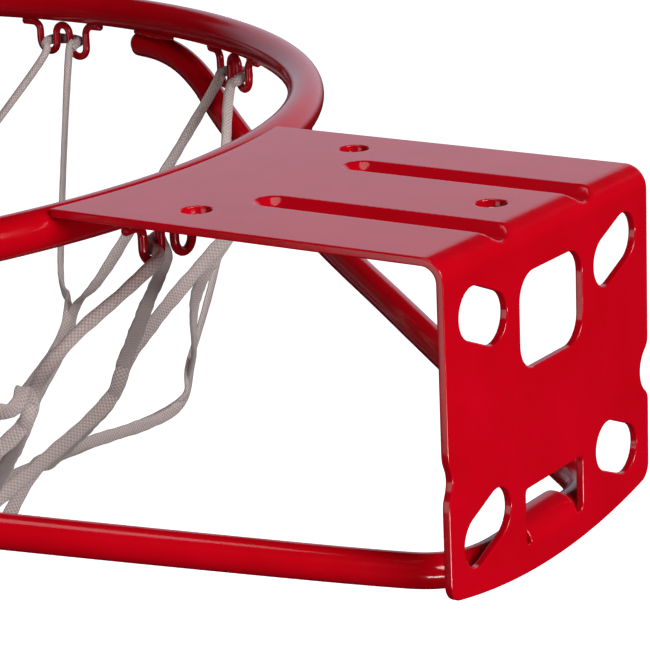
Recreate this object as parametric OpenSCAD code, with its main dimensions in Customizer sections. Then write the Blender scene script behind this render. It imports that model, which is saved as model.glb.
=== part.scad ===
// Basketball goal: bent steel bracket, round rod ring, brace rod, wire net hooks and a corded net.
// The origin is the centre of the four corner slots, on the rear face of the bracket.
// +Z is up, +Y points out of the rear face (towards the backboard), the ring lies towards -Y.

/* [Ring] */
// Inner diameter of the ring
ring_inner_d = 457.2; // [450:0.1:462]
// Diameter of the ring's solid rod
ring_rod_d = 12.7; // [12:0.1:16]
// Height of the ring's centre line above the origin
ring_z = 44.2; // [43.6:0.1:44.6]
// Gap from the rear face to the nearest inner edge of the ring
ring_gap = 135.5; // [134:0.5:140]

/* [Bracket] */
// Thickness of the bracket's sheet
sheet_t = 2.5; // [2:0.5:3]
// Width of the bracket
bracket_w = 116.5; // [112:0.5:122]
// Height of the top plate's upper face
top_z = 51; // [50:0.5:52]
// Height of the middle of the convex bottom edge
bottom_z = -52; // [-54:0.5:-50]
// Outer radius of the bend
bend_r = 7; // [6:0.5:9]
// Radius of the convex bottom edge
bottom_edge_r = 265; // [220:5:320]
// Radius of the two bottom corners
bottom_corner_r = 5.5; // [4:0.5:8]

/* [Slots and holes] */
// Distance between corner slots, side to side
slot_spacing_x = 75.7; // [70:0.1:80]
// Distance between corner slots, top to bottom
slot_spacing_z = 60.8; // [56:0.1:64]
// Width of a corner slot
slot_w = 15; // [12:0.5:16]
// End-to-end length of a corner slot
slot_l = 26.4; // [22:0.2:28]
// Tilt of a corner slot from level, outer end away from the middle
slot_tilt = 22; // [0:1:30]
// Diameter of the three holes in the top plate
top_hole_d = 9; // [6:0.5:10]
// Distance between the two front holes
front_hole_spacing = 82.8; // [76:0.2:90]

/* [Brace and hooks] */
// Diameter of the brace rod
brace_d = 10.4; // [9:0.2:12]
// Diameter of the hooks' wire
wire_d = 3; // [2.5:0.1:3.2]
// Number of net hooks
hook_count = 12; // [12:1:12]

/* [Net] */
// Diameter of a net cord
cord_d = 4.2; // [3:0.1:4.4]
// Height of the net's bottom knots
hem_z = -312; // [-340:1:-290]

/* [Hidden] */
HOOKS = [for (i = [1:12]) str("hook_", i < 10 ? "0" : "", i)];
CORDS = [for (i = [1:12]) str("net_cord_", i < 10 ? "0" : "", i)];
$fn = 96;
cut = 1;
hook_step = 360 / hook_count;
paint = [0.78, 0.03, 0.12];
cord_colour = [0.82, 0.78, 0.74];

// Ring
ring_r = (ring_inner_d + ring_rod_d) / 2;
ring_y = -(ring_gap + ring_inner_d / 2);

// Bracket
half_w = bracket_w / 2;
inner_bend_r = bend_r - sheet_t;
plate_front_r = ring_r + 4.5;
plate_reach = 150;
edge_centre_z = bottom_z + bottom_edge_r;
corner_x = half_w - bottom_corner_r;
corner_reach = bottom_edge_r - bottom_corner_r;
corner_z = edge_centre_z - sqrt(corner_reach * corner_reach - corner_x * corner_x);
corner_scale = bottom_edge_r / corner_reach;
front_hole_y = -91.5;
rear_hole_y = -19;
groove_x = 23.6;
groove_w = 10.8;
groove_depth = 3;
groove_end_y = -82.5;
groove_r = (groove_w * groove_w / 4 + groove_depth * groove_depth) / (2 * groove_depth);
groove_z = top_z - groove_depth + groove_r;
window_w = 36;
window_h = 28;
window_z = 22.4;
window_r = 8;
low_window_w = 33.4;
low_window_top = -26.4;
low_window_bottom = -41;
tongue_w = 27;
tongue_wrap = 112;
relief_r = 2.3;
notch_r = 8;
notch_z = -11.5;
near_notch_depth = 2;
far_notch_depth = 5;

// Brace: half of its route, from the middle of the cross stretch to the end under the ring
brace_y = -(sheet_t + brace_d / 2);
brace_z = -45;
brace_half_route = [
    [0, brace_y, brace_z], [26, brace_y, brace_z], [40, -14, -44.8], [52.5, -30, -42.5],
    [86.5, -80, -33.5], [120.5, -130, -24], [154.5, -180, -14.5], [184, -222, -3],
    [207, -258, 11.5], [218, -276, 22], [224, -290, 28.6], [227.6, -303, 31.9], [230, -315, 32.8]
];
brace_steps = 3;
brace_sides = 16;

// Hooks: a W of wire whose two feet lie along the ring's underside, seen along the radius
wire_r = wire_d / 2;
ring_under_z = ring_z - ring_rod_d / 2;
lobe_r = 4.3;
peak_r = 3.4;
foot_bend_r = 3.5;
foot_end_x = 20;
lobe_z = ring_under_z - 9.25;
peak_z = ring_under_z - wire_r - peak_r - 0.2;
foot_z = ring_under_z - wire_r + 0.3;
lobe_x = peak_r + lobe_r;
limb_x = lobe_x + lobe_r;
// How far each hook was welded from its even place round the ring, in degrees
hook_shift = [1.4, 0.4, -0.5, 0.7, -0.4, 0.3, -0.6, 0.5, -0.3, 1.4, -1.8, 0.3];

// Net: rows of crossings, given by radius and height; odd rows lie half a step round.
// The first two rows hang slack, so they have one value for each column.
row1_r = [214, 190, 192, 188, 194, 190, 186, 192, 188, 179, 189, 177.5];
row1_z = [-17.5, -64, -62, -72, -66, -74, -64, -70, -62, -72, -75, -39];
row1_turn = [-2, 0, 2, -1, 1, 0, -2, 1, 0, 0, -3, 0];
row2_r = [142, 140, 138, 134, 138, 136, 140, 134, 138, 156, 116, 135];
row2_z = [-80, -92, -112, -108, -114, -112, -108, -116, -112, -132, -118, -87];
// Where each strand hangs between its hook and the first row: radius, degrees on, height
plus_hang = [
    [228, 10.6, 6.2], [211, 8.6, -20], [208, 9.4, -26], [213, 8.2, -21], [209, 9, -25], [212, 8.5, -23],
    [208, 9.2, -22], [211, 8.4, -25], [209, 9, -21], [205, 6, -56], [210, 8.8, -24], [196, 4.2, -11.5]
];
minus_hang = [
    [203.5, -7, -3.3], [226, -12.5, -9.5], [210, -8.6, -22], [207, -9.2, -24], [211, -8.4, -26],
    [209, -9, -21], [212, -8.6, -24], [208, -9.3, -23], [211, -8.2, -22], [209, -8.8, -24],
    [186.4, -8, -44], [196, -2.5, -19.6]
];
// The hooks whose strand on the +side is drawn out through its lobe
drawn_out = [0, 3, 7];
low_row_r = [90, 65, 55, 50];
low_row_z = [-165, -208, -252, hem_z + 9];
strand_gap = cord_d / 2 + 0.3;
cord_sides = 8;
knot_r = 4;
tail_r = 2;
tail_l = 16;

function unit(v) = v / norm(v);
function round_ring(r, angle, z) = [r * sin(angle), ring_y + r * cos(angle), z];
function tangents(p) = [
    for (i = [0:len(p) - 1]) unit(p[min(i + 1, len(p) - 1)] - p[max(i - 1, 0)])
];
function carried(t, i, u) =
    i == len(t) ? [] : let (n = unit(u - (u * t[i]) * t[i])) concat([n], carried(t, i + 1, n));
function catmull(a, b, c, d, s) =
    0.5 * (2 * b + (c - a) * s + (2 * a - 5 * b + 4 * c - d) * s * s
    + (3 * b - a - 3 * c + d) * s * s * s);
function smooth_route(p, steps) = concat(
    [
        for (i = [0:len(p) - 2], k = [0:steps - 1])
            catmull(p[max(i - 1, 0)], p[i], p[i + 1], p[min(i + 2, len(p) - 1)], k / steps)
    ],
    [p[len(p) - 1]]
);
function reversed(p) = [for (i = [len(p) - 1:-1:0]) p[i]];
function mirrored_x(p) = [for (q = p) [-q[0], q[1], q[2]]];

// A rod of round section along a route
module swept_rod(route, r, sides, start_side) {
    t = tangents(route);
    u = carried(t, 0, start_side);
    last = len(route) - 1;
    points = [
        for (i = [0:last], k = [0:sides - 1])
            let (a = 360 * k / sides) route[i] + r * (cos(a) * u[i] + sin(a) * cross(t[i], u[i]))
    ];
    walls = [
        for (i = [0:last - 1], k = [0:sides - 1], half = [0, 1])
            let (n = (k + 1) % sides, a = i * sides, b = a + sides)
                half == 0 ? [a + k, b + k, b + n] : [a + k, b + n, a + n]
    ];
    first_cap = [for (k = [0:sides - 1]) k];
    last_cap = [for (k = [sides - 1:-1:0]) last * sides + k];
    polyhedron(points = points, faces = concat([first_cap], walls, [last_cap]), convexity = 8);
}

// The sheet's L section, seen along X, then drawn out to the bracket's width
module bent_sheet() {
    arc_y = -bend_r;
    arc_z = top_z - bend_r;
    rotate([90, 0, 90])
        translate([0, 0, -half_w])
            linear_extrude(height = bracket_w) {
                translate([-plate_reach, top_z - sheet_t])
                    square([arc_y + plate_reach, sheet_t]);
                translate([-sheet_t, bottom_z - cut])
                    square([sheet_t, arc_z - bottom_z + cut]);
                intersection() {
                    difference() {
                        translate([arc_y, arc_z])
                            circle(r = bend_r);
                        translate([arc_y, arc_z])
                            circle(r = inner_bend_r);
                    }
                    translate([arc_y, arc_z])
                        square(bend_r + cut);
                }
            }
}

// The rear plate's outline, seen from the front: convex bottom edge and rounded corners
module rear_outline() {
    foot_x = corner_x * corner_scale;
    foot_z = edge_centre_z - (edge_centre_z - corner_z) * corner_scale;
    arc_end_z = edge_centre_z - sqrt(bottom_edge_r * bottom_edge_r - corner_x * corner_x);
    intersection() {
        translate([0, edge_centre_z])
            circle(r = bottom_edge_r, $fn = 360);
        translate([-corner_x, bottom_z - cut])
            square([2 * corner_x, corner_z - bottom_z + 2 * cut]);
    }
    translate([-half_w - cut, corner_z])
        square([bracket_w + 2 * cut, top_z - corner_z + cut]);
    for (side = [-1, 1]) {
        translate([side * corner_x, corner_z])
            circle(r = bottom_corner_r);
        polygon([
            [side * (corner_x - cut), corner_z],
            [side * (corner_x - cut), arc_end_z],
            [side * corner_x, arc_end_z],
            [side * foot_x, foot_z],
            [side * corner_x, corner_z]
        ]);
    }
}

module obround(length, width) {
    straight = length - width;
    square([straight, width], center = true);
    for (end = [-1, 1])
        translate([end * straight / 2, 0])
            circle(d = width);
}

module rounded_window(w, h, r) {
    square([w - 2 * r, h], center = true);
    square([w, h - 2 * r], center = true);
    for (x = [-1, 1], z = [-1, 1])
        translate([x * (w / 2 - r), z * (h / 2 - r)])
            circle(r = r);
}

// All openings of the rear plate, as one flat pattern
module rear_openings() {
    for (x = [-1, 1], z = [-1, 1])
        translate([x * slot_spacing_x / 2, z * slot_spacing_z / 2])
            rotate(x * z * slot_tilt)
                obround(slot_l, slot_w);
    translate([0, window_z])
        rounded_window(window_w, window_h, window_r);
    translate([-low_window_w / 2, low_window_bottom])
        square([low_window_w, low_window_top - low_window_bottom]);
    for (side = [-1, 1]) {
        translate([side * (low_window_w / 2 - relief_r), low_window_bottom])
            circle(r = relief_r);
        translate([side * tongue_w / 2, low_window_bottom])
            scale([side, 1])
                square([low_window_w / 2 - relief_r - tongue_w / 2, relief_r]);
    }
    translate([half_w + notch_r - near_notch_depth, notch_z])
        circle(r = notch_r);
    translate([-half_w - notch_r + far_notch_depth, notch_z])
        circle(r = notch_r);
}

// A pattern drawn in X and Z, made into a cutter through the rear plate
module through_rear(from_y, to_y) {
    translate([0, to_y, 0])
        rotate([90, 0, 0])
            linear_extrude(height = to_y - from_y)
                children();
}

// One pressed groove of the top plate, grown outwards by a wall
module groove_form(side, wall, back_y) {
    r = groove_r + wall;
    front_y = groove_end_y + groove_w / 2;
    translate([side * groove_x, front_y, groove_z]) {
        sphere(r = r);
        rotate([-90, 0, 0])
            cylinder(r = r, h = back_y - front_y);
    }
}

// The tab that is bent out of the lower window and wraps over the brace.
// rotate_extrude turns about Z, so the band is built flat and stood along X.
module tongue() {
    translate([-tongue_w / 2, brace_y, brace_z])
        rotate([90, 0, 90])
            rotate_extrude(angle = tongue_wrap)
                translate([brace_d / 2, 0])
                    square([sheet_t, tongue_w]);
}

module bracket() color(paint) {
    difference() {
        union() {
            intersection() {
                bent_sheet();
                union() {
                    through_rear(-sheet_t - cut, cut)
                        rear_outline();
                    translate([-half_w, -plate_reach, 0])
                        cube([bracket_w, plate_reach + cut, top_z + cut]);
                }
            }
            intersection() {
                for (side = [-1, 1])
                    groove_form(side, sheet_t, -sheet_t);
                translate([-half_w, -plate_reach, 0])
                    cube([bracket_w, plate_reach - sheet_t, top_z - sheet_t / 2]);
            }
        }
        for (side = [-1, 1])
            groove_form(side, 0, bend_r);
        through_rear(-sheet_t - cut, cut)
            rear_openings();
        translate([0, ring_y, 0])
            cylinder(r = plate_front_r, h = top_z + cut, $fn = 360);
        for (side = [-1, 1])
            translate([side * front_hole_spacing / 2, front_hole_y, 0])
                cylinder(d = top_hole_d, h = top_z + cut);
        translate([0, rear_hole_y, 0])
            cylinder(d = top_hole_d, h = top_z + cut);
    }
    tongue();
}

module ring() color(paint)
    translate([0, ring_y, ring_z])
        rotate_extrude($fn = 180)
            translate([ring_r, 0])
                circle(d = ring_rod_d, $fn = 48);

module brace() color(paint) {
    half = smooth_route(brace_half_route, brace_steps);
    other = reversed(mirrored_x([for (i = [1:len(half) - 1]) half[i]]));
    swept_rod(concat(other, half), brace_d / 2, brace_sides, [0, 0, 1]);
}

// Part of a turn of wire in the X-Z plane, from one angle through a sweep
module wire_arc(x, z, r, from, sweep) {
    translate([x, 0, z])
        rotate([90, 0, 0])
            rotate(from)
                rotate_extrude(angle = sweep)
                    translate([r, 0])
                        circle(r = wire_r, $fn = 24);
}

module wire_post(x, from_z, to_z) {
    translate([x, 0, from_z])
        cylinder(r = wire_r, h = to_z - from_z, $fn = 24);
}

module hook(angle) color(paint)
    translate([ring_r * sin(angle), ring_y + ring_r * cos(angle), 0])
        rotate(-angle) {
            wire_arc(0, peak_z, peak_r, 0, 180);
            for (side = [-1, 1]) {
                wire_arc(side * lobe_x, lobe_z, lobe_r, 180, 180);
                wire_post(side * peak_r, lobe_z, peak_z);
                wire_post(side * limb_x, lobe_z, foot_z - foot_bend_r);
                wire_arc(side * (limb_x + foot_bend_r), foot_z - foot_bend_r, foot_bend_r,
                    side > 0 ? 90 : 0, 90);
                translate([side * foot_end_x, 0, foot_z])
                    rotate([0, -side * 90, 0])
                        cylinder(r = wire_r, h = foot_end_x - limb_x - foot_bend_r, $fn = 24);
            }
        }

// Where one strand passes a crossing: just beside it, above and below, drawn in by a lean
function passing(r, angle, z, side, half, lean) = let (turn = side * strand_gap / r * 180 / PI) [
    round_ring(r + lean, angle + turn, z + half),
    round_ring(r - lean, angle + turn, z - half)
];

// The start of a strand at its hook: a bight over the middle limbs, and a way through the lobe.
// Where the strand on the +side is drawn out, the bight lies inside the ring instead.
function held(home, side) = [
    round_ring(ring_r + 4.6, home + 0.35 * side, lobe_z + 0.9),
    round_ring(ring_r + 2.6, home + 1.6 * side, lobe_z + 0.9),
    round_ring(ring_r - 2.6, home + 1.88 * side, lobe_z - 0.2),
    round_ring(ring_r - 7, home + 1.9 * side, lobe_z - 7.5)
];
function held_drawn_out(home, side) = side > 0 ? [
    round_ring(ring_r - 4.8, home + 0.2, lobe_z + 0.3),
    round_ring(ring_r - 4.6, home + 1.15, lobe_z + 0.1),
    round_ring(ring_r - 2.2, home + 1.75, lobe_z - 0.1),
    round_ring(ring_r + 2.4, home + 2, lobe_z - 0.6),
    round_ring(ring_r + 5, home + 2.7, lobe_z - 2.2),
    round_ring(ring_r + 4.6, home + 4.1, lobe_z - 5),
    round_ring(ring_r + 1.5, home + 6, lobe_z - 10.6)
] : [
    round_ring(ring_r - 5, home - 0.4, lobe_z + 0.8),
    round_ring(ring_r - 6.4, home - 1.3, lobe_z - 2.4),
    round_ring(ring_r - 11, home - 3.2, lobe_z - 10.5)
];

// One strand of a cord, from its bight in the hook down to the bottom knots
function strand(i, side) =
    let (
        home = i * hook_step,
        hook_at = home + hook_shift[i],
        hang = side > 0 ? plus_hang[i] : minus_hang[i],
        column = (i + (side > 0 ? 0 : hook_count - 1)) % hook_count,
        half_turn = home + side * hook_step / 2
    ) concat(
        len(search(i, drawn_out)) > 0 ? held_drawn_out(hook_at, side) : held(hook_at, side),
        [round_ring(hang[0], home + hang[1], hang[2])],
        passing(row1_r[column], half_turn + row1_turn[column], row1_z[column], -side, 9, 4.7),
        passing(row2_r[i], home, row2_z[i], side, 5.5, 6),
        passing(low_row_r[0], half_turn, low_row_z[0], -side, 6, 5),
        passing(low_row_r[1], home, low_row_z[1], side, 7, 3),
        passing(low_row_r[2], half_turn, low_row_z[2], -side, 7, 1),
        [round_ring(low_row_r[3], home + side * 2.8, low_row_z[3] - 2)]
    );

module net_cord(i) color(cord_colour)
    swept_rod(concat(reversed(strand(i, -1)), strand(i, 1)), cord_d / 2, cord_sides, [0, 0, 1]);

module net_hem_knots() color(cord_colour)
    for (i = [0:hook_count - 1])
        translate(round_ring(low_row_r[3], i * hook_step, hem_z)) {
            sphere(r = knot_r, $fn = 32);
            translate([0, 0, -tail_l])
                cylinder(r = tail_r, h = tail_l, $fn = 24);
        }

bracket();
ring();
brace();
for (i = [0:hook_count - 1])
    hook(i * hook_step + hook_shift[i]);
for (i = [0:hook_count - 1])
    net_cord(i);
net_hem_knots();
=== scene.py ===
"""Basketball goal: painted steel ring, bracket, brace and hooks, with a net of flat braided cords.

Every position is in metres in the row frame: the origin is the centre of the bracket's four
corner slots on its rear face, +Y points out of that face and +Z is up.
"""
import math
import random

import bpy
from mathutils import Matrix, Vector, geometry


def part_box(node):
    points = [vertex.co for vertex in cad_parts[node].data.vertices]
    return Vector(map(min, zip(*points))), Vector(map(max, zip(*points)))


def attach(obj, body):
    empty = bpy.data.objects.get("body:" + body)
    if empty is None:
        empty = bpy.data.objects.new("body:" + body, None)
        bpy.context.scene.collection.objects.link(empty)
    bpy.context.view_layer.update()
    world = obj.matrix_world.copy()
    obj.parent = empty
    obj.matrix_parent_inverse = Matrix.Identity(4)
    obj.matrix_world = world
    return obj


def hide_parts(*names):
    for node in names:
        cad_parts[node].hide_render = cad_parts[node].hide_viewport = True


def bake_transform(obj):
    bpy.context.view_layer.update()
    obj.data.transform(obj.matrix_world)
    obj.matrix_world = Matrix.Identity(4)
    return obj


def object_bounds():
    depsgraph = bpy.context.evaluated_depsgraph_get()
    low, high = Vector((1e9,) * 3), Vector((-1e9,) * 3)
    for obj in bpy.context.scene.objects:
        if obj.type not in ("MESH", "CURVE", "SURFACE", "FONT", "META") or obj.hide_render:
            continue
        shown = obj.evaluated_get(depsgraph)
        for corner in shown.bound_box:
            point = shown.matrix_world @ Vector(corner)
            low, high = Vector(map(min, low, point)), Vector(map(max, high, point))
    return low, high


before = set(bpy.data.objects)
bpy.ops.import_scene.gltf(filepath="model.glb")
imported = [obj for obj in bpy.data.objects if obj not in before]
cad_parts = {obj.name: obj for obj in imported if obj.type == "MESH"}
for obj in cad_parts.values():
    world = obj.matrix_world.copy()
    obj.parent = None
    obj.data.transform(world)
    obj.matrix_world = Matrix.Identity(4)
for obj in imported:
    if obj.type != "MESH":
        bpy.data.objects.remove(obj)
cad_low, cad_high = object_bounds()

# --------------------------------------------------------------------------------------
# Sizes, worked out from the frame
# --------------------------------------------------------------------------------------
MM = 0.001
ring_low, ring_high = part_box("ring")
bracket_low, bracket_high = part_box("bracket")
hem_low, hem_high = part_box("net_hem_knots")

RING_ROD = (ring_high.z - ring_low.z) / 2
RING_R = (ring_high.x - ring_low.x) / 2 - RING_ROD
RING_Y = (ring_low.y + ring_high.y) / 2
RING_Z = (ring_low.z + ring_high.z) / 2
RING_UNDER = RING_Z - RING_ROD
PLATE_TOP = bracket_high.z
SHEET = 2.5 * MM
PLATE_EDGE_R = RING_R + 4.5 * MM

HOOKS = 12
HOOK_STEP = 360 / HOOKS
WIRE_R = 1.5 * MM
LOBE_R = 4.3 * MM
PEAK_R = 3.4 * MM
FOOT_BEND_R = 3.5 * MM
FOOT_END_X = 20 * MM
LOBE_Z = RING_UNDER - 9.25 * MM
PEAK_Z = RING_UNDER - WIRE_R - PEAK_R - 0.2 * MM
FOOT_Z = RING_UNDER - WIRE_R + 0.3 * MM
LOBE_X = PEAK_R + LOBE_R
LIMB_X = LOBE_X + LOBE_R
# How far each hook sits from its even place, in degrees, and how far it leans in its own plane
HOOK_SHIFT = [1.4, 0.4, -0.5, 0.7, -0.4, 0.3, -0.6, 0.5, -0.3, 1.4, -1.8, 0.3]
HOOK_LEAN = [0.05, -0.05, 0.08, 0.03, -0.09, 0.06, -0.04, 0.07, 0.04, -0.08, 0.06, -0.05]

BRACE_R = 5.2 * MM
BRACE_Y = -(SHEET + BRACE_R)

KNOT_R = 4 * MM
HEM_Z = hem_high.z - KNOT_R
# Half width and half thickness of a cord where it hangs flat, and near its bight, where it is rounder
CORD_HALF_W = 2.45 * MM
CORD_HALF_T = 1.05 * MM
ROUND_HALF_W = 2.0 * MM
ROUND_HALF_T = 1.6 * MM
# A cord's length along one unit of its UV map, and how many units go round it
BRAID_PITCH = 1.7 * MM
UV_ROUND = 8


def link(obj):
    bpy.context.scene.collection.objects.link(obj)
    return obj


def mesh_object(name, points, faces, material, uv=None):
    """A smooth-shaded mesh object; uv holds one pair for each corner of each face."""
    mesh = bpy.data.meshes.new(name)
    mesh.from_pydata([tuple(p) for p in points], [], faces)
    mesh.update()
    mesh.polygons.foreach_set("use_smooth", [True] * len(mesh.polygons))
    if uv:
        layer = mesh.uv_layers.new(name="UVMap")
        layer.data.foreach_set("uv", [value for pair in uv for value in pair])
    mesh.materials.append(material)
    return link(bpy.data.objects.new(name, mesh))


# --------------------------------------------------------------------------------------
# Materials
# --------------------------------------------------------------------------------------
class Shader:
    """A new material with its Principled shader and short helpers for its nodes."""

    def __init__(self, name):
        self.material = bpy.data.materials.new(name)
        self.material.use_nodes = True
        self.nodes = self.material.node_tree.nodes
        self.links = self.material.node_tree.links
        self.surface = self.nodes["Principled BSDF"]

    def node(self, kind, **inputs):
        made = self.nodes.new(kind)
        for name, value in inputs.items():
            made.inputs[name.replace("_", " ")].default_value = value
        return made

    def join(self, out_socket, in_socket):
        self.links.new(out_socket, in_socket)

    def set(self, **values):
        for name, value in values.items():
            self.surface.inputs[name.replace("_", " ")].default_value = value

    def noise(self, vector, scale, detail=2.0, roughness=0.5):
        made = self.node("ShaderNodeTexNoise", Scale=scale, Detail=detail, Roughness=roughness)
        self.join(vector, made.inputs["Vector"])
        return made.outputs["Fac"]

    def ramp(self, factor, stops):
        made = self.nodes.new("ShaderNodeValToRGB")
        elements = made.color_ramp.elements
        while len(elements) < len(stops):
            elements.new(0.5)
        for element, (position, colour) in zip(elements, stops):
            element.position = position
            element.color = colour
        self.join(factor, made.inputs["Fac"])
        return made.outputs["Color"]

    def scaled(self, factor, low, high):
        made = self.nodes.new("ShaderNodeMapRange")
        made.inputs["To Min"].default_value = low
        made.inputs["To Max"].default_value = high
        self.join(factor, made.inputs["Value"])
        return made.outputs["Result"]

    def bump(self, height, strength, distance, under=None):
        made = self.node("ShaderNodeBump", Strength=strength, Distance=distance)
        self.join(height, made.inputs["Height"])
        if under is not None:
            self.join(under, made.inputs["Normal"])
        return made.outputs["Normal"]

    def place(self):
        return self.nodes.new("ShaderNodeTexCoord").outputs["Object"]


def red_paint(name, deep, bright, gloss):
    """Glossy red powder coat: faint mottling of the colour and orange peel."""
    s = Shader(name)
    place = s.place()
    mottle = s.noise(place, 38, 4, 0.55)
    s.join(s.ramp(mottle, [(0.3, deep), (0.72, bright)]), s.surface.inputs["Base Color"])
    s.join(s.scaled(s.noise(place, 120, 3), gloss - 0.04, gloss + 0.06), s.surface.inputs["Roughness"])
    peel = s.bump(s.noise(place, 420, 2), 0.12, 0.00012)
    specks = s.bump(s.noise(place, 2600, 2), 0.05, 0.00004, under=peel)
    s.join(specks, s.surface.inputs["Normal"])
    s.set(IOR=1.46)
    return s.material


def braided_cord(name):
    """Off-white braided polyester: crossed yarns and a soft sheen; the colour is darker between the yarns as
    painted shade and lighter on their crests as a painted highlight.
    """
    s = Shader(name)
    uv = s.nodes.new("ShaderNodeUVMap")
    uv.uv_map = "UVMap"
    waves = []
    for turn in (1, -1):
        mapped = s.nodes.new("ShaderNodeMapping")
        mapped.inputs["Rotation"].default_value = (0, 0, turn * math.radians(40))
        s.join(uv.outputs["UV"], mapped.inputs["Vector"])
        wave = s.node("ShaderNodeTexWave", Scale=0.5, Distortion=0.7, Detail=1.0, Detail_Scale=1.5)
        s.join(mapped.outputs["Vector"], wave.inputs["Vector"])
        waves.append(wave.outputs["Fac"])
    braid = s.nodes.new("ShaderNodeMix")
    s.join(waves[0], braid.inputs["A"])
    s.join(waves[1], braid.inputs["B"])
    yarns = braid.outputs["Result"]
    # Colour follows the yarn pattern: the dark stop is painted shade between the yarns, the light stop a
    # painted highlight on their crests
    yarn_shade_highlight = s.ramp(yarns, [
        (0.1, (0.47, 0.37, 0.35, 1)), (0.45, (0.63, 0.515, 0.495, 1)), (0.85, (0.77, 0.665, 0.64, 1))
    ])
    s.join(yarn_shade_highlight, s.surface.inputs["Base Color"])
    fuzz = s.noise(s.place(), 2200, 3)
    woven = s.bump(yarns, 0.6, 0.00025)
    s.join(s.bump(fuzz, 0.25, 0.0001, under=woven), s.surface.inputs["Normal"])
    s.set(Roughness=0.85, Sheen_Weight=0.35, Sheen_Roughness=0.4, Specular_IOR_Level=0.25,
          Subsurface_Weight=0.4, Subsurface_Radius=(0.004, 0.003, 0.003), Subsurface_Scale=1.0)
    return s.material


SHEET_PAINT = red_paint("painted_sheet", (0.52, 0.0002, 0.006, 1), (0.60, 0.0004, 0.010, 1), 0.13)
ROD_PAINT = red_paint("painted_rod", (0.47, 0.0002, 0.005, 1), (0.54, 0.0004, 0.008, 1), 0.12)
WIRE_PAINT = red_paint("painted_wire", (0.42, 0.0004, 0.007, 1), (0.52, 0.0006, 0.010, 1), 0.18)
CORD = braided_cord("net_cord")


# --------------------------------------------------------------------------------------
# Routes and swept bodies
# --------------------------------------------------------------------------------------
# A swept body's domed end, in shares of its radius: the tip, and a ring between tip and rim
DOME_TIP = 0.5
DOME_RING_R = 0.72
DOME_RING_OUT = 0.38


def catmull(a, b, c, d, s):
    """The point at share s of a Catmull-Rom curve's stretch from b to c."""
    return 0.5 * (2 * b + (c - a) * s + (2 * a - 5 * b + 4 * c - d) * s * s
                  + (3 * b - a - 3 * c + d) * s * s * s)


def smooth_route(points, steps):
    """A smooth curve through the points, with steps stretches between each pair."""
    last = len(points) - 1
    route = []
    for i in range(last):
        a, b = points[max(i - 1, 0)], points[i]
        c, d = points[i + 1], points[min(i + 2, last)]
        route += [catmull(a, b, c, d, k / steps) for k in range(steps)]
    return route + [points[last]]


def even_route(route, spacing):
    """The same polyline, with points an even distance apart."""
    length = sum((b - a).length for a, b in zip(route, route[1:]))
    count = max(2, round(length / spacing))
    step = length / count
    made, walked, i = [route[0].copy()], 0.0, 0
    for n in range(1, count):
        target = n * step
        while walked + (route[i + 1] - route[i]).length < target:
            walked += (route[i + 1] - route[i]).length
            i += 1
        stretch = (route[i + 1] - route[i]).length
        made.append(route[i].lerp(route[i + 1], (target - walked) / stretch))
    return made + [route[-1].copy()]


def directions(route):
    last = len(route) - 1
    return [(route[min(i + 1, last)] - route[max(i - 1, 0)]).normalized() for i in range(last + 1)]


def carried_sides(route, start):
    """A side direction at each point, carried along the route without twist."""
    sides, side = [], Vector(start)
    for way in directions(route):
        side = (side - way * side.dot(way)).normalized()
        sides.append(side)
    return sides


def swept(route, section, around, start=(0, 0, 1), side_list=None):
    """Points, faces and UVs of section(i, angle, walked) -> (across, out) swept along a route."""
    ways = directions(route)
    side_list = side_list or carried_sides(route, start)
    count = len(route)
    points, faces, uv, heights = [], [], [], []
    walked = 0.0
    for i, (p, way, side) in enumerate(zip(route, ways, side_list)):
        if i:
            walked += (p - route[i - 1]).length
        heights.append(walked)
        other = way.cross(side)
        for k in range(around):
            across, out = section(i, 2 * math.pi * k / around, walked)
            points.append(p + side * across + other * out)
    for i in range(count - 1):
        u0, u1 = heights[i] / BRAID_PITCH, heights[i + 1] / BRAID_PITCH
        for k in range(around):
            n = (k + 1) % around
            a, b = i * around, (i + 1) * around
            faces.append((a + k, a + n, b + n, b + k))
            v0, v1 = UV_ROUND * k / around, UV_ROUND * (k + 1) / around
            uv += [(u0, v0), (u0, v1), (u1, v1), (u1, v0)]
    for ring, way in ((0, -ways[0]), (count - 1, ways[-1])):
        tip = len(points)
        rim = [points[ring * around + k] for k in range(around)]
        radius = min((q - route[ring]).length for q in rim)
        points.append(route[ring] + way * radius * DOME_TIP)
        dome = len(points)
        points += [
            route[ring] + (q - route[ring]) * DOME_RING_R + way * radius * DOME_RING_OUT for q in rim
        ]
        for k in range(around):
            n = (k + 1) % around
            a, b = ring * around + k, ring * around + n
            quad = (a, b, dome + n, dome + k)
            cap = (dome + k, dome + n, tip)
            if ring == 0:
                quad, cap = quad[::-1], cap[::-1]
            faces += [quad, cap]
            uv += [(0, 0)] * 7
    return points, faces, uv


def joined(name, parts, material):
    """One mesh object out of several swept bodies."""
    points, faces, uv = [], [], []
    for more_points, more_faces, more_uv in parts:
        base = len(points)
        points += more_points
        faces += [tuple(base + v for v in face) for face in more_faces]
        uv += more_uv
    return mesh_object(name, points, faces, material, uv)


def placed(part, matrix):
    points, faces, uv = part
    return [matrix @ p for p in points], faces, uv


def round_section(radius):
    return lambda i, angle, walked: (radius * math.cos(angle), radius * math.sin(angle))


# --------------------------------------------------------------------------------------
# Ring
# --------------------------------------------------------------------------------------
def around_ring(radius, degrees, z):
    """A point by its distance from the ring's axis and its angle from +Y towards +X."""
    turn = math.radians(degrees)
    return Vector((radius * math.sin(turn), RING_Y + radius * math.cos(turn), z))


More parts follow.
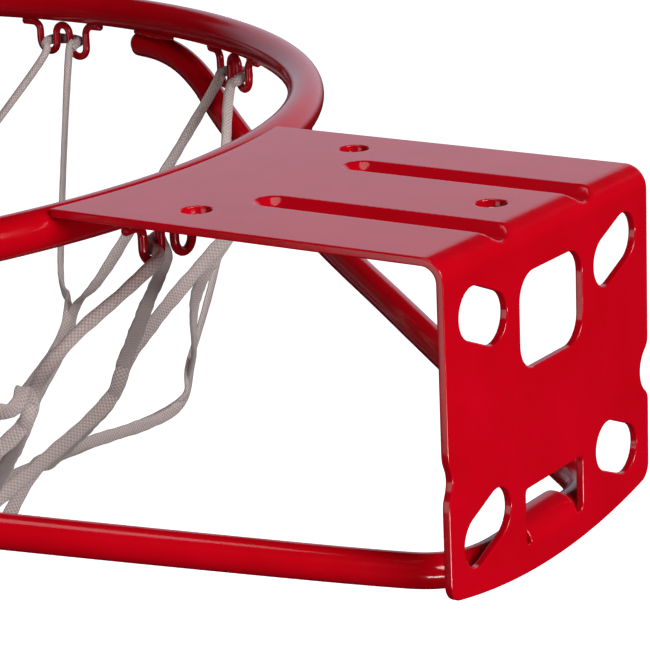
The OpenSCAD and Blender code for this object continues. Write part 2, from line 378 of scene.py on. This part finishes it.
def ring_mesh():
    """The rod ring: a fine torus."""
    turns, around = 540, 40
    points, faces = [], []
    for i in range(turns):
        degrees = 360 * i / turns
        for k in range(around):
            angle = 2 * math.pi * k / around
            reach = RING_R + RING_ROD * math.cos(angle)
            points.append(around_ring(reach, degrees, RING_Z + RING_ROD * math.sin(angle)))
            n, j = (k + 1) % around, (i + 1) % turns
            faces.append((i * around + k, i * around + n, j * around + n, j * around + k))
    return mesh_object("ring_rod", points, faces, ROD_PAINT)


ring = ring_mesh()
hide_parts("ring")
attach(ring, "rim")


# --------------------------------------------------------------------------------------
# Bracket: a flat pattern with holes, given rounded edges, pressed grooves and its bends
# --------------------------------------------------------------------------------------
HALF_WIDE = bracket_high.x
BEND_R = 7 * MM
BEND_FROM = PLATE_TOP - BEND_R
BEND_LONG = (BEND_R - SHEET / 2) * math.pi / 2
BEND_TO = BEND_FROM + BEND_LONG
EDGE_ROUND = 0.5 * MM
GROOVE_X, GROOVE_HALF, GROOVE_DEEP, GROOVE_END_Y = 23.6 * MM, 5.4 * MM, 3 * MM, -82.5 * MM
GROOVE_R = (GROOVE_HALF ** 2 + GROOVE_DEEP ** 2) / (2 * GROOVE_DEEP)
# How much a pressed groove widens towards the sheet's inner face, and how softly its lips blend in
GROOVE_SPREAD = 0.6
GROOVE_LIP = 1.0 * MM
GROOVE_MARGIN = 2 * MM
TONGUE_HALF, TONGUE_FROM, TONGUE_TO = 13.5 * MM, -45 * MM, -32.4 * MM
TONGUE_R = BRACE_R + SHEET / 2
# The sheet beside the tongue eases from the roll to flat; it stays flat above the reliefs
ROLL_HALF, ROLL_TOP, ROLL_FLAT_FROM = 16.5 * MM, -30 * MM, 14 * MM
RELIEF_R, RELIEF_Z = 2.3 * MM, -41 * MM
SLOT_X, SLOT_Z, SLOT_TILT = 37.85 * MM, 30.4 * MM, 22
SLOT_LONG_MM, SLOT_WIDE_MM = 26.4, 15
HOLE_R = 4.5 * MM
HOLES = [(41.4 * MM, -91.5 * MM), (-41.4 * MM, -91.5 * MM), (0, -19 * MM)]
NOTCH_R, NOTCH_Z = 8 * MM, -11.5 * MM
NOTCH_DEEP = {1: 2 * MM, -1: 5 * MM}
# The least distance between two points of the sheet's triangulation
CLOSEST = 0.42 * MM


def turn_points(x, y, radius, start, end, count=None):
    """Points of an arc in the flat pattern, from one angle to another in degrees."""
    count = count or max(3, round(abs(end - start) / 360 * 2 * math.pi * radius / (0.8 * MM)))
    made = []
    for k in range(count + 1):
        turn = math.radians(start + (end - start) * k / count)
        made.append((x + radius * math.cos(turn), y + radius * math.sin(turn)))
    return made


def stepped(points, spacing):
    """The closed polygon with long sides cut into steps."""
    made = []
    for a, b in zip(points, points[1:] + points[:1]):
        count = max(1, round(math.dist(a, b) / spacing))
        made += [(a[0] + (b[0] - a[0]) * k / count, a[1] + (b[1] - a[1]) * k / count)
                 for k in range(count)]
    return made


def softened(points, places, reach, passes):
    """Rounds the corners of a closed polygon that lie near the given places."""
    near = [min(math.dist(p, place) for place in places) < reach for p in points]
    for _ in range(passes):
        points = [
            tuple((points[i - 1][j] + 2 * p[j] + points[(i + 1) % len(points)][j]) / 4 for j in (0, 1))
            if near[i] else p for i, p in enumerate(points)
        ]
    return points


def notch(side, upwards):
    """The round notch in the side edge at +X or -X, run through upwards or downwards."""
    deep = NOTCH_DEEP[side]
    half = math.degrees(math.acos((NOTCH_R - deep) / NOTCH_R))
    middle = 180 if side > 0 else 0
    centre_x = side * (HALF_WIDE + NOTCH_R - deep)
    made = turn_points(centre_x, NOTCH_Z, NOTCH_R, middle + half, middle - half)
    return made if (made[-1][1] > made[0][1]) == upwards else made[::-1]


def plate_outline():
    """The sheet's outer edge in the flat pattern, counterclockwise from the bottom left."""
    corner_r, bottom_r = 5.5 * MM, 265 * MM
    bottom = bracket_low.z + bottom_r
    corner_x = HALF_WIDE - corner_r
    corner_y = bottom - math.sqrt((bottom_r - corner_r) ** 2 - corner_x ** 2)
    tilt = math.degrees(math.asin(corner_x / (bottom_r - corner_r)))
    edge_y = BEND_TO - BEND_R - RING_Y
    swing = math.degrees(math.asin(HALF_WIDE / PLATE_EDGE_R))
    points = turn_points(0, bottom, bottom_r, 270 - tilt, 270 + tilt)
    points += turn_points(corner_x, corner_y, corner_r, tilt - 90, 0)
    points += notch(1, True)
    points += turn_points(0, edge_y, PLATE_EDGE_R, swing - 90, -swing - 90)
    points += notch(-1, False)
    points += turn_points(-corner_x, corner_y, corner_r, 180, 270 - tilt)
    lips = [notch(side, True)[end] for side in (1, -1) for end in (0, -1)]
    tip_y = edge_y - PLATE_EDGE_R * math.cos(math.radians(swing))
    tips = [(side * HALF_WIDE, tip_y) for side in (-1, 1)]
    points = stepped(points, 0.7 * MM)
    return softened(softened(points, lips, 2.2 * MM, 10), tips, 1.5 * MM, 4)


def slot_outline(x, y, tilt):
    """A slot with round ends about a centre, tilted by some degrees."""
    half, radius = (SLOT_LONG_MM - SLOT_WIDE_MM) / 2 * MM, SLOT_WIDE_MM / 2 * MM
    ends = turn_points(half, 0, radius, -90, 90) + turn_points(-half, 0, radius, 90, 270)
    c, s = math.cos(math.radians(tilt)), math.sin(math.radians(tilt))
    return stepped([(x + a * c - b * s, y + a * s + b * c) for a, b in ends], 0.8 * MM)


def window_outline():
    """The square window with round corners between the upper slots."""
    half_w, half_h, radius, level = 18 * MM, 14 * MM, 8 * MM, 22.4 * MM
    points = []
    for x, y, start in ((1, 1, 0), (-1, 1, 90), (-1, -1, 180), (1, -1, 270)):
        centre = (x * (half_w - radius), level + y * (half_h - radius))
        points += turn_points(*centre, radius, start, start + 90)
    return stepped(points, 0.8 * MM)


def low_window_outline():
    """The window that the tongue is bent out of: a U round the tongue, with round reliefs."""
    half, top = 16.7 * MM, -26.4 * MM
    x = half - RELIEF_R
    meets = math.degrees(math.acos((TONGUE_HALF - x) / RELIEF_R))
    right = [(TONGUE_HALF, TONGUE_TO)] + turn_points(x, RELIEF_Z, RELIEF_R, -meets, 0) + [(half, top)]
    points = right + [(-a, b) for a, b in reversed(right)]
    corners = [(side * a, b) for side in (-1, 1) for a, b in ((half, top), (TONGUE_HALF, TONGUE_TO))]
    return softened(stepped(points, 0.6 * MM), corners, 1.8 * MM, 5)


def inset(points, by, hole):
    """The polygon moved into the sheet's material by a small distance."""
    area = sum(a[0] * b[1] - b[0] * a[1] for a, b in zip(points, points[1:] + points[:1]))
    inward = (1 if area > 0 else -1) * (-1 if hole else 1)
    made = []
    for i, p in enumerate(points):
        a, b = points[i - 1], points[(i + 1) % len(points)]
        along = Vector((b[0] - a[0], b[1] - a[1])).normalized()
        made.append((p[0] - along.y * by * inward, p[1] + along.x * by * inward))
    return made


def inside(point, polygon):
    """Whether a point lies in a closed polygon."""
    odd = False
    for (ax, ay), (bx, by) in zip(polygon, polygon[1:] + polygon[:1]):
        if (ay > point[1]) != (by > point[1]):
            if point[0] < ax + (bx - ax) * (point[1] - ay) / (by - ay):
                odd = not odd
    return odd


def inner_points():
    """Places inside the flat pattern: close together where the sheet bends or is pressed."""
    made = []
    for row in range(-20, 72):
        for column in range(-22, 23):
            made.append((column * 2.6 * MM, row * 2.6 * MM))
    for row in range(24):
        for column in range(-40, 41):
            made.append((column * 1.45 * MM, BEND_FROM - 0.8 * MM + row * 0.5 * MM))
    for row in range(110):
        for column in range(-10, 11):
            for side in (-1, 1):
                made.append((side * GROOVE_X + column * 0.7 * MM, BEND_FROM + row * 0.85 * MM))
    for row in range(28):
        for column in range(-24, 25):
            made.append((column * 0.56 * MM, TONGUE_FROM - 0.9 * MM + row * 0.5 * MM))
    return made


def eased(low, high, value):
    """0 below low, 1 above high, and a smooth step between them."""
    share = min(1.0, max(0.0, (value - low) / (high - low)))
    return share * share * (3 - 2 * share)


def lower_of(a, b, blend):
    """The smaller of two values, with a rounded changeover."""
    share = max(blend - abs(a - b), 0.0) / blend
    return min(a, b) - share * share * blend / 4


def bent(u, v, w):
    """Where a point of the flat pattern comes to lie; w is 0 on the outer face, below 0 inside."""
    if v <= BEND_FROM:
        place = Vector((u, w, v))
        beside_tongue = abs(u) > ROLL_FLAT_FROM and v > RELIEF_Z
        if TONGUE_FROM < v < ROLL_TOP and abs(u) < ROLL_HALF and not beside_tongue:
            turn = (v - TONGUE_FROM) / TONGUE_R
            reach = BRACE_R + SHEET + w
            rolled = Vector((u, BRACE_Y + reach * math.cos(turn), TONGUE_FROM + reach * math.sin(turn)))
            place = place.lerp(rolled, 1 - eased(TONGUE_HALF + 0.2 * MM, ROLL_HALF, abs(u)))
        return place
    if v < BEND_TO:
        turn = (v - BEND_FROM) / BEND_LONG * math.pi / 2
        reach = BEND_R + w
        place = Vector((u, -BEND_R + reach * math.cos(turn), BEND_FROM + reach * math.sin(turn)))
    else:
        place = Vector((u, -BEND_R - (v - BEND_TO), PLATE_TOP + w))
    across = abs(abs(u) - GROOVE_X)
    ahead = max(0.0, GROOVE_END_Y + GROOVE_HALF - place.y)
    off = math.hypot(across, ahead)
    if off < GROOVE_HALF + GROOVE_MARGIN:
        round_r = GROOVE_R + (-w) * GROOVE_SPREAD
        drop = math.sqrt(max(round_r ** 2 - off ** 2, 0)) - (GROOVE_R - GROOVE_DEEP) - (-w) * GROOVE_SPREAD
        place.z = lower_of(place.z, PLATE_TOP + w - drop, GROOVE_LIP)
    return place


def bracket_sheet():
    """Both faces of the sheet as one triangulation, joined by a rounded wall round each edge."""
    slots = [slot_outline(x * SLOT_X, z * SLOT_Z, x * z * SLOT_TILT) for x in (-1, 1) for z in (-1, 1)]
    holes = [turn_points(x, BEND_TO - BEND_R - y, HOLE_R, 0, 360, 40)[:-1] for x, y in HOLES]
    rims = [(plate_outline(), False)]
    rims += [(points, True) for points in slots + holes + [window_outline(), low_window_outline()]]
    flat_rims = [inset(points, EDGE_ROUND, hole) for points, hole in rims]
    places, edges, starts = [], [], []
    for points in flat_rims:
        starts.append(len(places))
        edges += [(len(places) + i, len(places) + (i + 1) % len(points)) for i in range(len(points))]
        places += points
    rim_count = len(places)
    grid = {}
    for p in places:
        grid.setdefault((int(p[0] // MM), int(p[1] // MM)), []).append(p)

    def free(q, spacing):
        cell = (int(q[0] // MM), int(q[1] // MM))
        for a in (-1, 0, 1):
            for b in (-1, 0, 1):
                for p in grid.get((cell[0] + a, cell[1] + b), ()):
                    if math.dist(p, q) < spacing:
                        return False
        return True

    def in_sheet(q):
        return inside(q, flat_rims[0]) and not any(inside(q, hole) for hole in flat_rims[1:])

    for q in inner_points():
        if free(q, CLOSEST) and in_sheet(q):
            places.append(q)
            grid.setdefault((int(q[0] // MM), int(q[1] // MM)), []).append(q)
    made, _, triangles, *_ = geometry.delaunay_2d_cdt([Vector(q) for q in places], edges, [], 0, 1e-7)
    triangles = [
        t for t in triangles if in_sheet(tuple(sum((made[v] for v in t), Vector((0, 0))) / len(t)))
    ]
    points = [bent(q.x, q.y, 0.0) for q in made] + [bent(q.x, q.y, -SHEET) for q in made]
    count = len(made)
    faces = [tuple(t) for t in triangles] + [tuple(v + count for v in reversed(t)) for t in triangles]
    turns = (math.radians(30), math.radians(60), math.radians(90))
    profile = [(EDGE_ROUND * (1 - math.sin(t)), -EDGE_ROUND * (1 - math.cos(t))) for t in turns]
    profile += [(off, -SHEET - w) for off, w in reversed(profile)]
    for (outline, hole), start in zip(rims, starts):
        n = len(outline)
        rows = [list(range(start, start + n))]
        for off, w in profile:
            rows.append(list(range(len(points), len(points) + n)))
            points += [bent(q[0], q[1], w) for q in inset(outline, off, hole)]
        rows.append([v + count for v in rows[0]])
        area = sum(a[0] * b[1] - b[0] * a[1] for a, b in zip(outline, outline[1:] + outline[:1]))
        flip = (area > 0) == hole
        for upper, lower in zip(rows, rows[1:]):
            for i in range(n):
                quad = (upper[i], lower[i], lower[(i + 1) % n], upper[(i + 1) % n])
                faces.append(quad[::-1] if flip else quad)
    made_object = mesh_object("bracket_sheet", points, faces, SHEET_PAINT)
    shading = made_object.modifiers.new("even_shading", "WEIGHTED_NORMAL")
    shading.mode = "FACE_AREA"
    shading.weight = 80
    return made_object


bracket = bracket_sheet()
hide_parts("bracket")
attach(bracket, "rim")

# --------------------------------------------------------------------------------------
# Brace
# --------------------------------------------------------------------------------------
BRACE_HALF = [
    Vector(p) * MM for p in (
        (0, -7.7, -45), (26, -7.7, -45), (40, -14, -44.8), (52.5, -30, -42.5),
        (86.5, -80, -33.5), (120.5, -130, -24), (154.5, -180, -14.5), (184, -222, -3),
        (207, -258, 11.5), (218, -276, 22), (224, -290, 28.6), (227.6, -303, 31.9), (230, -315, 32.8),
    )
]


def brace_rod():
    half = smooth_route(BRACE_HALF, 12)
    other = [Vector((-p.x, p.y, p.z)) for p in reversed(half[1:])]
    return joined("brace_rod", [swept(other + half, round_section(BRACE_R), 32)], ROD_PAINT)


brace = brace_rod()
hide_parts("brace")
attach(brace, "rim")


# --------------------------------------------------------------------------------------
# Net hooks
# --------------------------------------------------------------------------------------
def arc(x, z, radius, start, sweep, steps=10):
    """Points of an arc in the hook's own X-Z plane, at y = 0."""
    made = []
    for k in range(steps + 1):
        turn = math.radians(start + sweep * k / steps)
        made.append(Vector((x + radius * math.cos(turn), 0, z + radius * math.sin(turn))))
    return made


def hook_route(lean):
    """The W of wire: foot along the ring, lobe, peak, lobe, foot; leaning in its own plane."""
    bend_x, bend_z = LIMB_X + FOOT_BEND_R, FOOT_Z - FOOT_BEND_R
    left = [Vector((-FOOT_END_X, 0, FOOT_Z))] + arc(-bend_x, bend_z, FOOT_BEND_R, 90, -90)
    left += arc(-LOBE_X, LOBE_Z, LOBE_R, 180, 180)
    right = arc(LOBE_X, LOBE_Z, LOBE_R, 180, 180) + arc(bend_x, bend_z, FOOT_BEND_R, 180, -90)
    right += [Vector((FOOT_END_X, 0, FOOT_Z))]
    route = even_route(left + arc(0, PEAK_Z, PEAK_R, 180, -180) + right, 0.7 * MM)
    for p in route:
        p.z += lean * p.x * eased(0, 7 * MM, FOOT_Z - p.z)
    return route


def weld_bead(route, radius, seed):
    """A lumpy bead of weld along a route."""
    chance = random.Random(seed)
    swell = [1 + chance.uniform(-0.16, 0.16) for _ in route]

    def section(i, angle, walked):
        ripple = 1 + 0.07 * math.cos(2 * math.pi * walked / (1.5 * MM))
        end = 0.45 + 0.55 * math.sin(math.pi * (i + 0.5) / len(route)) ** 0.5
        r = radius * swell[i] * ripple * end
        return r * math.cos(angle), r * math.sin(angle)

    return swept(route, section, 12)


def hook(i):
    """One hook under the ring, with a bead of weld on both sides of each foot."""
    degrees = i * HOOK_STEP + HOOK_SHIFT[i]
    parts = [swept(hook_route(HOOK_LEAN[i]), round_section(WIRE_R), 16, start=(0, 1, 0))]
    for side in (-1, 1):
        for out in (-1, 1):
            bead = [Vector((side * (14.5 + 0.55 * k) * MM, out * 1.5 * MM, FOOT_Z + 0.9 * MM))
                    for k in range(10)]
            parts.append(weld_bead(bead, 0.9 * MM, 7 * i + 2 * side + out))
    centre = around_ring(RING_R, degrees, 0)
    turned = Matrix.Translation(centre) @ Matrix.Rotation(-math.radians(degrees), 4, "Z")
    made = joined(f"hook_wire_{i + 1:02d}", [placed(part, turned) for part in parts], WIRE_PAINT)
    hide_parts(f"hook_{i + 1:02d}")
    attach(made, "rim")


for index in range(HOOKS):
    hook(index)

# --------------------------------------------------------------------------------------
# Net
# --------------------------------------------------------------------------------------
# The crossings of neighbouring strands, in mm and degrees: two rows with one entry for each
# column, then rows that are alike all round. The HANG points lie between hook and first row.
ROW1_R = [214, 190, 192, 188, 194, 190, 186, 192, 188, 179, 189, 177.5]
ROW1_Z = [-17.5, -64, -62, -72, -66, -74, -64, -70, -62, -72, -75, -39]
ROW1_TURN = [-2, 0, 2, -1, 1, 0, -2, 1, 0, 0, -3, 0]
ROW2_R = [142, 140, 138, 134, 138, 136, 140, 134, 138, 156, 116, 135]
ROW2_Z = [-80, -92, -112, -108, -114, -112, -108, -116, -112, -132, -118, -87]
PLUS_HANG = [
    (228, 10.6, 6.2), (211, 8.6, -20), (208, 9.4, -26), (213, 8.2, -21), (209, 9, -25), (212, 8.5, -23),
    (208, 9.2, -22), (211, 8.4, -25), (209, 9, -21), (205, 6, -56), (210, 8.8, -24), (196, 4.2, -11.5),
]
MINUS_HANG = [
    (203.5, -7, -3.3), (226, -12.5, -9.5), (210, -8.6, -22), (207, -9.2, -24), (211, -8.4, -26),
    (209, -9, -21), (212, -8.6, -24), (208, -9.3, -23), (211, -8.2, -22), (209, -8.8, -24),
    (186.4, -8, -44), (196, -2.5, -19.6),
]
# The hooks whose cord is drawn out through the lobe
DRAWN_OUT = (0, 3, 7)
LOW_ROW_R = [90, 65, 55, 50]
LOW_ROW_Z = [-165, -208, -252, -303]
# Which way the flat of the cord faces at each half step round the net, from the radius
FACE_TURN = [56, 40, 20, 5, -10, 12, 0, -14, 8, 16, -6, 10, -12, 4, 14, -8, 10, 30, 56, 90, 90, 11, 86, 70]
STRAND_GAP = 2.4
# The cord's spread from round to flat, by its distance from the bight
FLAT_FROM, FLAT_BY, NEAR_FLAT_BY = 0.02, 0.07, 0.16


def passing(radius, degrees, z, side, half, lean):
    """The two points where a strand passes beside its neighbour's at a crossing."""
    turn = math.degrees(side * STRAND_GAP / radius)
    return [
        around_ring((radius + lean) * MM, degrees + turn, (z + half) * MM),
        around_ring((radius - lean) * MM, degrees + turn, (z - half) * MM),
    ]


def at_hook(home, offsets):
    """Points by how far each lies outside the ring's line, round it in degrees, and above the lobe."""
    return [around_ring(RING_R + out * MM, home + turn, LOBE_Z + up * MM) for out, turn, up in offsets]


def held(home, side):
    """The half of a bight that lies over the hook's peak."""
    return at_hook(home, [
        (4.6, 0.35 * side, 0.9), (2.6, 1.6 * side, 0.9), (-2.6, 1.88 * side, -0.2), (-7, 1.9 * side, -7.5)
    ])


def held_drawn_out(home, side):
    """The half of a bight that goes out through one lobe, or comes in over the peak."""
    if side > 0:
        return at_hook(home, [
            (-4.8, 0.2, 0.3), (-4.6, 1.15, 0.1), (-2.2, 1.75, -0.1), (2.4, 2, -0.6), (5, 2.7, -2.2),
            (4.6, 4.1, -5), (1.5, 6, -10.6),
        ])
    return at_hook(home, [(-5, -0.4, 0.8), (-6.4, -1.3, -2.4), (-11, -3.2, -10.5)])


def strand_points(i, side):
    """The points of one strand from its bight in the hook down to the bottom knots."""
    home = i * HOOK_STEP
    hook_at = home + HOOK_SHIFT[i]
    column = i if side > 0 else (i + HOOKS - 1) % HOOKS
    half_turn = home + side * HOOK_STEP / 2
    reach, on, height = (PLUS_HANG if side > 0 else MINUS_HANG)[i]
    points = (held_drawn_out if i in DRAWN_OUT else held)(hook_at, side)
    points.append(around_ring(reach * MM, home + on, height * MM))
    points += passing(ROW1_R[column], half_turn + ROW1_TURN[column], ROW1_Z[column], -side, 9, 4.7)
    points += passing(ROW2_R[i], home, ROW2_Z[i], side, 5.5, 6)
    points += passing(LOW_ROW_R[0], half_turn, LOW_ROW_Z[0], -side, 6, 5)
    points += passing(LOW_ROW_R[1], home, LOW_ROW_Z[1], side, 7, 3)
    points += passing(LOW_ROW_R[2], half_turn, LOW_ROW_Z[2], -side, 7, 1)
    return points + [
        around_ring(LOW_ROW_R[3] * MM, home + side * 2.8, (LOW_ROW_Z[3] - 2) * MM),
        around_ring(LOW_ROW_R[3] * MM, home + side * 0.5, HEM_Z + 1 * MM),
    ]


def face_direction(point):
    """The level direction that the cord's flat faces at a place of the net."""
    degrees = math.degrees(math.atan2(point.x, point.y - RING_Y)) % 360
    place = degrees / (HOOK_STEP / 2)
    low = int(place) % len(FACE_TURN)
    share = place - int(place)
    high = (low + 1) % len(FACE_TURN)
    turn = FACE_TURN[low] * (1 - share) + FACE_TURN[high] * share
    facing = math.radians(degrees + turn)
    return Vector((math.sin(facing), math.cos(facing), 0))


def net_cord(i):
    """One braided cord with its bight in hook i and its two ends in the knot below."""
    upper, lower = strand_points(i, -1)[::-1], strand_points(i, 1)
    route = even_route(smooth_route(upper + lower, 8), 0.8 * MM)
    middle = sum((b - a).length for a, b in zip(upper, upper[1:])) * 1.003
    sides = []
    for p, way in zip(route, directions(route)):
        across = way.cross(face_direction(p))
        if sides and across.dot(sides[-1]) < 0:
            across.negate()
        sides.append(across.normalized())

    def section(n, angle, walked):
        off = walked - middle
        flat = eased(FLAT_FROM, NEAR_FLAT_BY if i == 0 and off > 0 else FLAT_BY, abs(off))
        half_w = ROUND_HALF_W + (CORD_HALF_W - ROUND_HALF_W) * flat
        half_t = ROUND_HALF_T + (CORD_HALF_T - ROUND_HALF_T) * flat
        lively = 1 + 0.05 * math.sin(walked * 310 + i) + 0.03 * math.sin(walked * 820 + 2 * i)
        across = half_w * lively * math.cos(angle)
        return across, half_t * math.copysign(abs(math.sin(angle)) ** 0.8, math.sin(angle))

    made = joined(f"braided_cord_{i + 1:02d}", [swept(route, section, 24, side_list=sides)], CORD)
    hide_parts(f"net_cord_{i + 1:02d}")
    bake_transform(made)


for index in range(HOOKS):
    net_cord(index)


KNOT_TURN, KNOT_RISE, KNOT_CORD_R = 0.85 * MM, 1.7 * MM, 1.25 * MM
KNOT_STEPS, TAIL_STEPS = 60, 12
TAIL_R = 0.85 * MM


def hem_knot(i):
    """An overhand knot that ties the two ends of a cord, with two short tails."""
    centre = around_ring(LOW_ROW_R[3] * MM, i * HOOK_STEP, HEM_Z)
    chance = random.Random(40 + i)
    turn = chance.uniform(0, 360)
    loop = []
    for k in range(KNOT_STEPS + 1):
        t = 2 * math.pi * k / KNOT_STEPS
        loop.append(centre + Matrix.Rotation(math.radians(turn), 3, "Z") @ Vector((
            (math.sin(t) + 2 * math.sin(2 * t)) * KNOT_TURN,
            (math.cos(t) - 2 * math.cos(2 * t)) * KNOT_TURN,
            -math.sin(3 * t) * KNOT_RISE,
        )))
    parts = [swept(loop, round_section(KNOT_CORD_R), 14)]
    for side in (-1, 1):
        long = chance.uniform(12, 15) * MM
        lean = chance.uniform(0.2, 0.9) * MM
        tail = []
        for k in range(TAIL_STEPS + 1):
            down = k / TAIL_STEPS
            tail.append(centre + Vector((side * lean * (0.4 + down), 0, -down * long - 1 * MM)))
        parts.append(swept(tail, round_section(TAIL_R), 12))
    return parts


knots = joined("hem_knots", [part for index in range(HOOKS) for part in hem_knot(index)], CORD)
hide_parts("net_hem_knots")
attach(knots, "net_hem")

# --------------------------------------------------------------------------------------
# Welds of the big parts
# --------------------------------------------------------------------------------------
RING_WELD_FROM_Y, RING_WELD_STEP = -292, 0.9
RING_WELD_R, PLATE_WELD_R, TONGUE_WELD_R = 1.5 * MM, 1.3 * MM, 1.0 * MM
RING_WELD_OUT = 3.4 * MM
PLATE_WELD_STARTS = (4.5, 9.5)


def big_welds():
    """Beads where the brace meets the ring and the tongue, and under the plate's front edge."""
    parts = []
    for side in (-1, 1):
        for out in (-1, 1):
            bead = []
            for k in range(26):
                y = (RING_WELD_FROM_Y - RING_WELD_STEP * k) * MM
                reach = math.sqrt(RING_R ** 2 - (y - RING_Y) ** 2)
                bead.append(Vector((side * (reach + out * RING_WELD_OUT), y, RING_UNDER + 0.2 * MM)))
            parts.append(weld_bead(bead, RING_WELD_R, 90 + side * 3 + out))
        for start in PLATE_WELD_STARTS:
            under_plate = PLATE_TOP - SHEET - 0.6 * MM
            bead = [around_ring(PLATE_EDGE_R - 2.6 * MM, side * (start + k * 0.2), under_plate)
                    for k in range(16)]
            parts.append(weld_bead(bead, PLATE_WELD_R, round(100 + side * start)))
        bead = []
        for k in range(14):
            t = math.radians(20 + 6 * k)
            off = BRACE_R + 0.3 * MM
            bead.append(Vector((
                side * (TONGUE_HALF + 0.4 * MM), BRACE_Y + off * math.cos(t), TONGUE_FROM + off * math.sin(t)
            )))
        parts.append(weld_bead(bead, TONGUE_WELD_R, 120 + side))
    return joined("weld_beads", parts, ROD_PAINT)


welds = big_welds()
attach(welds, "rim")

# --------------------------------------------------------------------------------------
# Floor, light and camera
# --------------------------------------------------------------------------------------
FLOOR_DROP = 0.25
FLOOR_HALF = 6.0


def plain_floor():
    """A white floor that the camera sees; it glows enough to read as plain white."""
    s = Shader("pale_floor")
    grain = s.noise(s.place(), 3)
    s.join(s.ramp(grain, [(0, (0.93, 0.93, 0.93, 1)), (1, (0.96, 0.96, 0.96, 1))]),
           s.surface.inputs["Base Color"])
    s.set(Roughness=0.9, Specular_IOR_Level=0.1, Emission_Color=(1, 1, 1, 1), Emission_Strength=1.0)
    z = cad_low.z - FLOOR_DROP
    corners = [(-1, -1), (1, -1), (1, 1), (-1, 1)]
    points = [Vector((x * FLOOR_HALF, RING_Y + y * FLOOR_HALF, z)) for x, y in corners]
    floor = mesh_object("floor", points, [(0, 1, 2, 3)], s.material)
    floor.visible_diffuse = False
    floor.visible_glossy = False


def light_tent():
    """A dim room with a bright wall beyond the ring, whose upper edge is sharp."""
    world = bpy.data.worlds.new("white_wall_room")
    world.use_nodes = True
    nodes, links = world.node_tree.nodes, world.node_tree.links
    place = nodes.new("ShaderNodeTexCoord")
    level = None
    for towards, dim, bright in TENT_EDGES:
        facing = nodes.new("ShaderNodeVectorMath")
        facing.operation = "DOT_PRODUCT"
        facing.inputs[1].default_value = towards
        links.new(place.outputs["Generated"], facing.inputs[0])
        shade = nodes.new("ShaderNodeMapRange")
        shade.interpolation_type = "SMOOTHSTEP"
        shade.inputs["From Min"].default_value = dim
        shade.inputs["From Max"].default_value = bright
        links.new(facing.outputs["Value"], shade.inputs["Value"])
        if level is None:
            level = shade.outputs["Result"]
        else:
            both = nodes.new("ShaderNodeMath")
            both.operation = "MULTIPLY"
            links.new(level, both.inputs[0])
            links.new(shade.outputs["Result"], both.inputs[1])
            level = both.outputs["Value"]
    strength = nodes.new("ShaderNodeMapRange")
    strength.inputs["To Min"].default_value = TENT_LEVEL[0]
    strength.inputs["To Max"].default_value = TENT_LEVEL[1]
    links.new(level, strength.inputs["Value"])
    links.new(strength.outputs["Result"], nodes["Background"].inputs["Strength"])
    nodes["Background"].inputs["Color"].default_value = TENT_COLOUR
    bpy.context.scene.world = world


def soft_light(name, place, target, size, share):
    """A soft box; share is how white a white card facing it at the target would look."""
    away = Vector(place) - Vector(target)
    lamp = bpy.data.lights.new(name, "AREA")
    lamp.shape = "RECTANGLE"
    lamp.size, lamp.size_y = size
    lamp.energy = share * math.pi ** 2 * away.length_squared
    obj = link(bpy.data.objects.new(name, lamp))
    obj.location = place
    obj.rotation_euler = away.to_track_quat("Z", "Y").to_euler()
    obj.visible_camera = False


# The wall's sides, lower edge and upper edge: each a direction, and the cosines of the angles
# from it at which the room is dim and the wall is bright
TENT_EDGES = [((-0.83, -0.55, 0), 0.50, 0.80), ((0, 0, 1), -0.20, 0.0), ((0, 0, -1), -0.47, -0.42)]
# The room's light and the wall's
TENT_LEVEL = (0.012, 0.68)
TENT_COLOUR = (0.94, 0.90, 1.08, 1)
plain_floor()
light_tent()
goal = (0, RING_Y / 3, 0)
soft_light("key", (0.35, 1.75, 1.0), goal, (1.5, 0.8), 0.90)
soft_light("over", (0.2, -0.2, 2.2), goal, (1.2, 1.2), 0.22)
soft_light("fill", (1.5, -0.5, -0.1), (0, RING_Y, 0), (0.9, 0.9), 0.22)
soft_light("low", (0.6, 1.05, -0.48), (0, -0.15, 0), (0.6, 0.15), 0.30)

CAMERA_PLACE = (0.68216, 0.38131, 0.25134)
CAMERA_AZIMUTH, CAMERA_ELEVATION, CAMERA_ROLL = 123.78, 16.97, -2.34


def photo_camera():
    """The camera behind and above the bracket's +X side, with its direction given in degrees."""
    data = bpy.data.cameras.new("camera")
    data.sensor_width = 36
    data.lens = 160.1
    data.shift_x = -0.0104
    data.shift_y = 0.0348
    data.clip_start = 0.05
    azimuth, elevation = math.radians(CAMERA_AZIMUTH), math.radians(CAMERA_ELEVATION)
    roll = math.radians(CAMERA_ROLL)
    back = Vector((
        math.sin(azimuth) * math.cos(elevation),
        -math.cos(azimuth) * math.cos(elevation),
        math.sin(elevation),
    ))
    right = (-back).cross(Vector((0, 0, 1))).normalized()
    up = right.cross(-back)
    turned = right * math.cos(roll) + up * math.sin(roll)
    raised = up * math.cos(roll) - right * math.sin(roll)
    camera = link(bpy.data.objects.new("camera", data))
    camera.matrix_world = Matrix.Translation(CAMERA_PLACE) @ Matrix((
        (turned.x, raised.x, back.x), (turned.y, raised.y, back.y), (turned.z, raised.z, back.z),
    )).to_4x4()
    bpy.context.scene.camera = camera


photo_camera()
bpy.context.scene.view_settings.view_transform = "Standard"
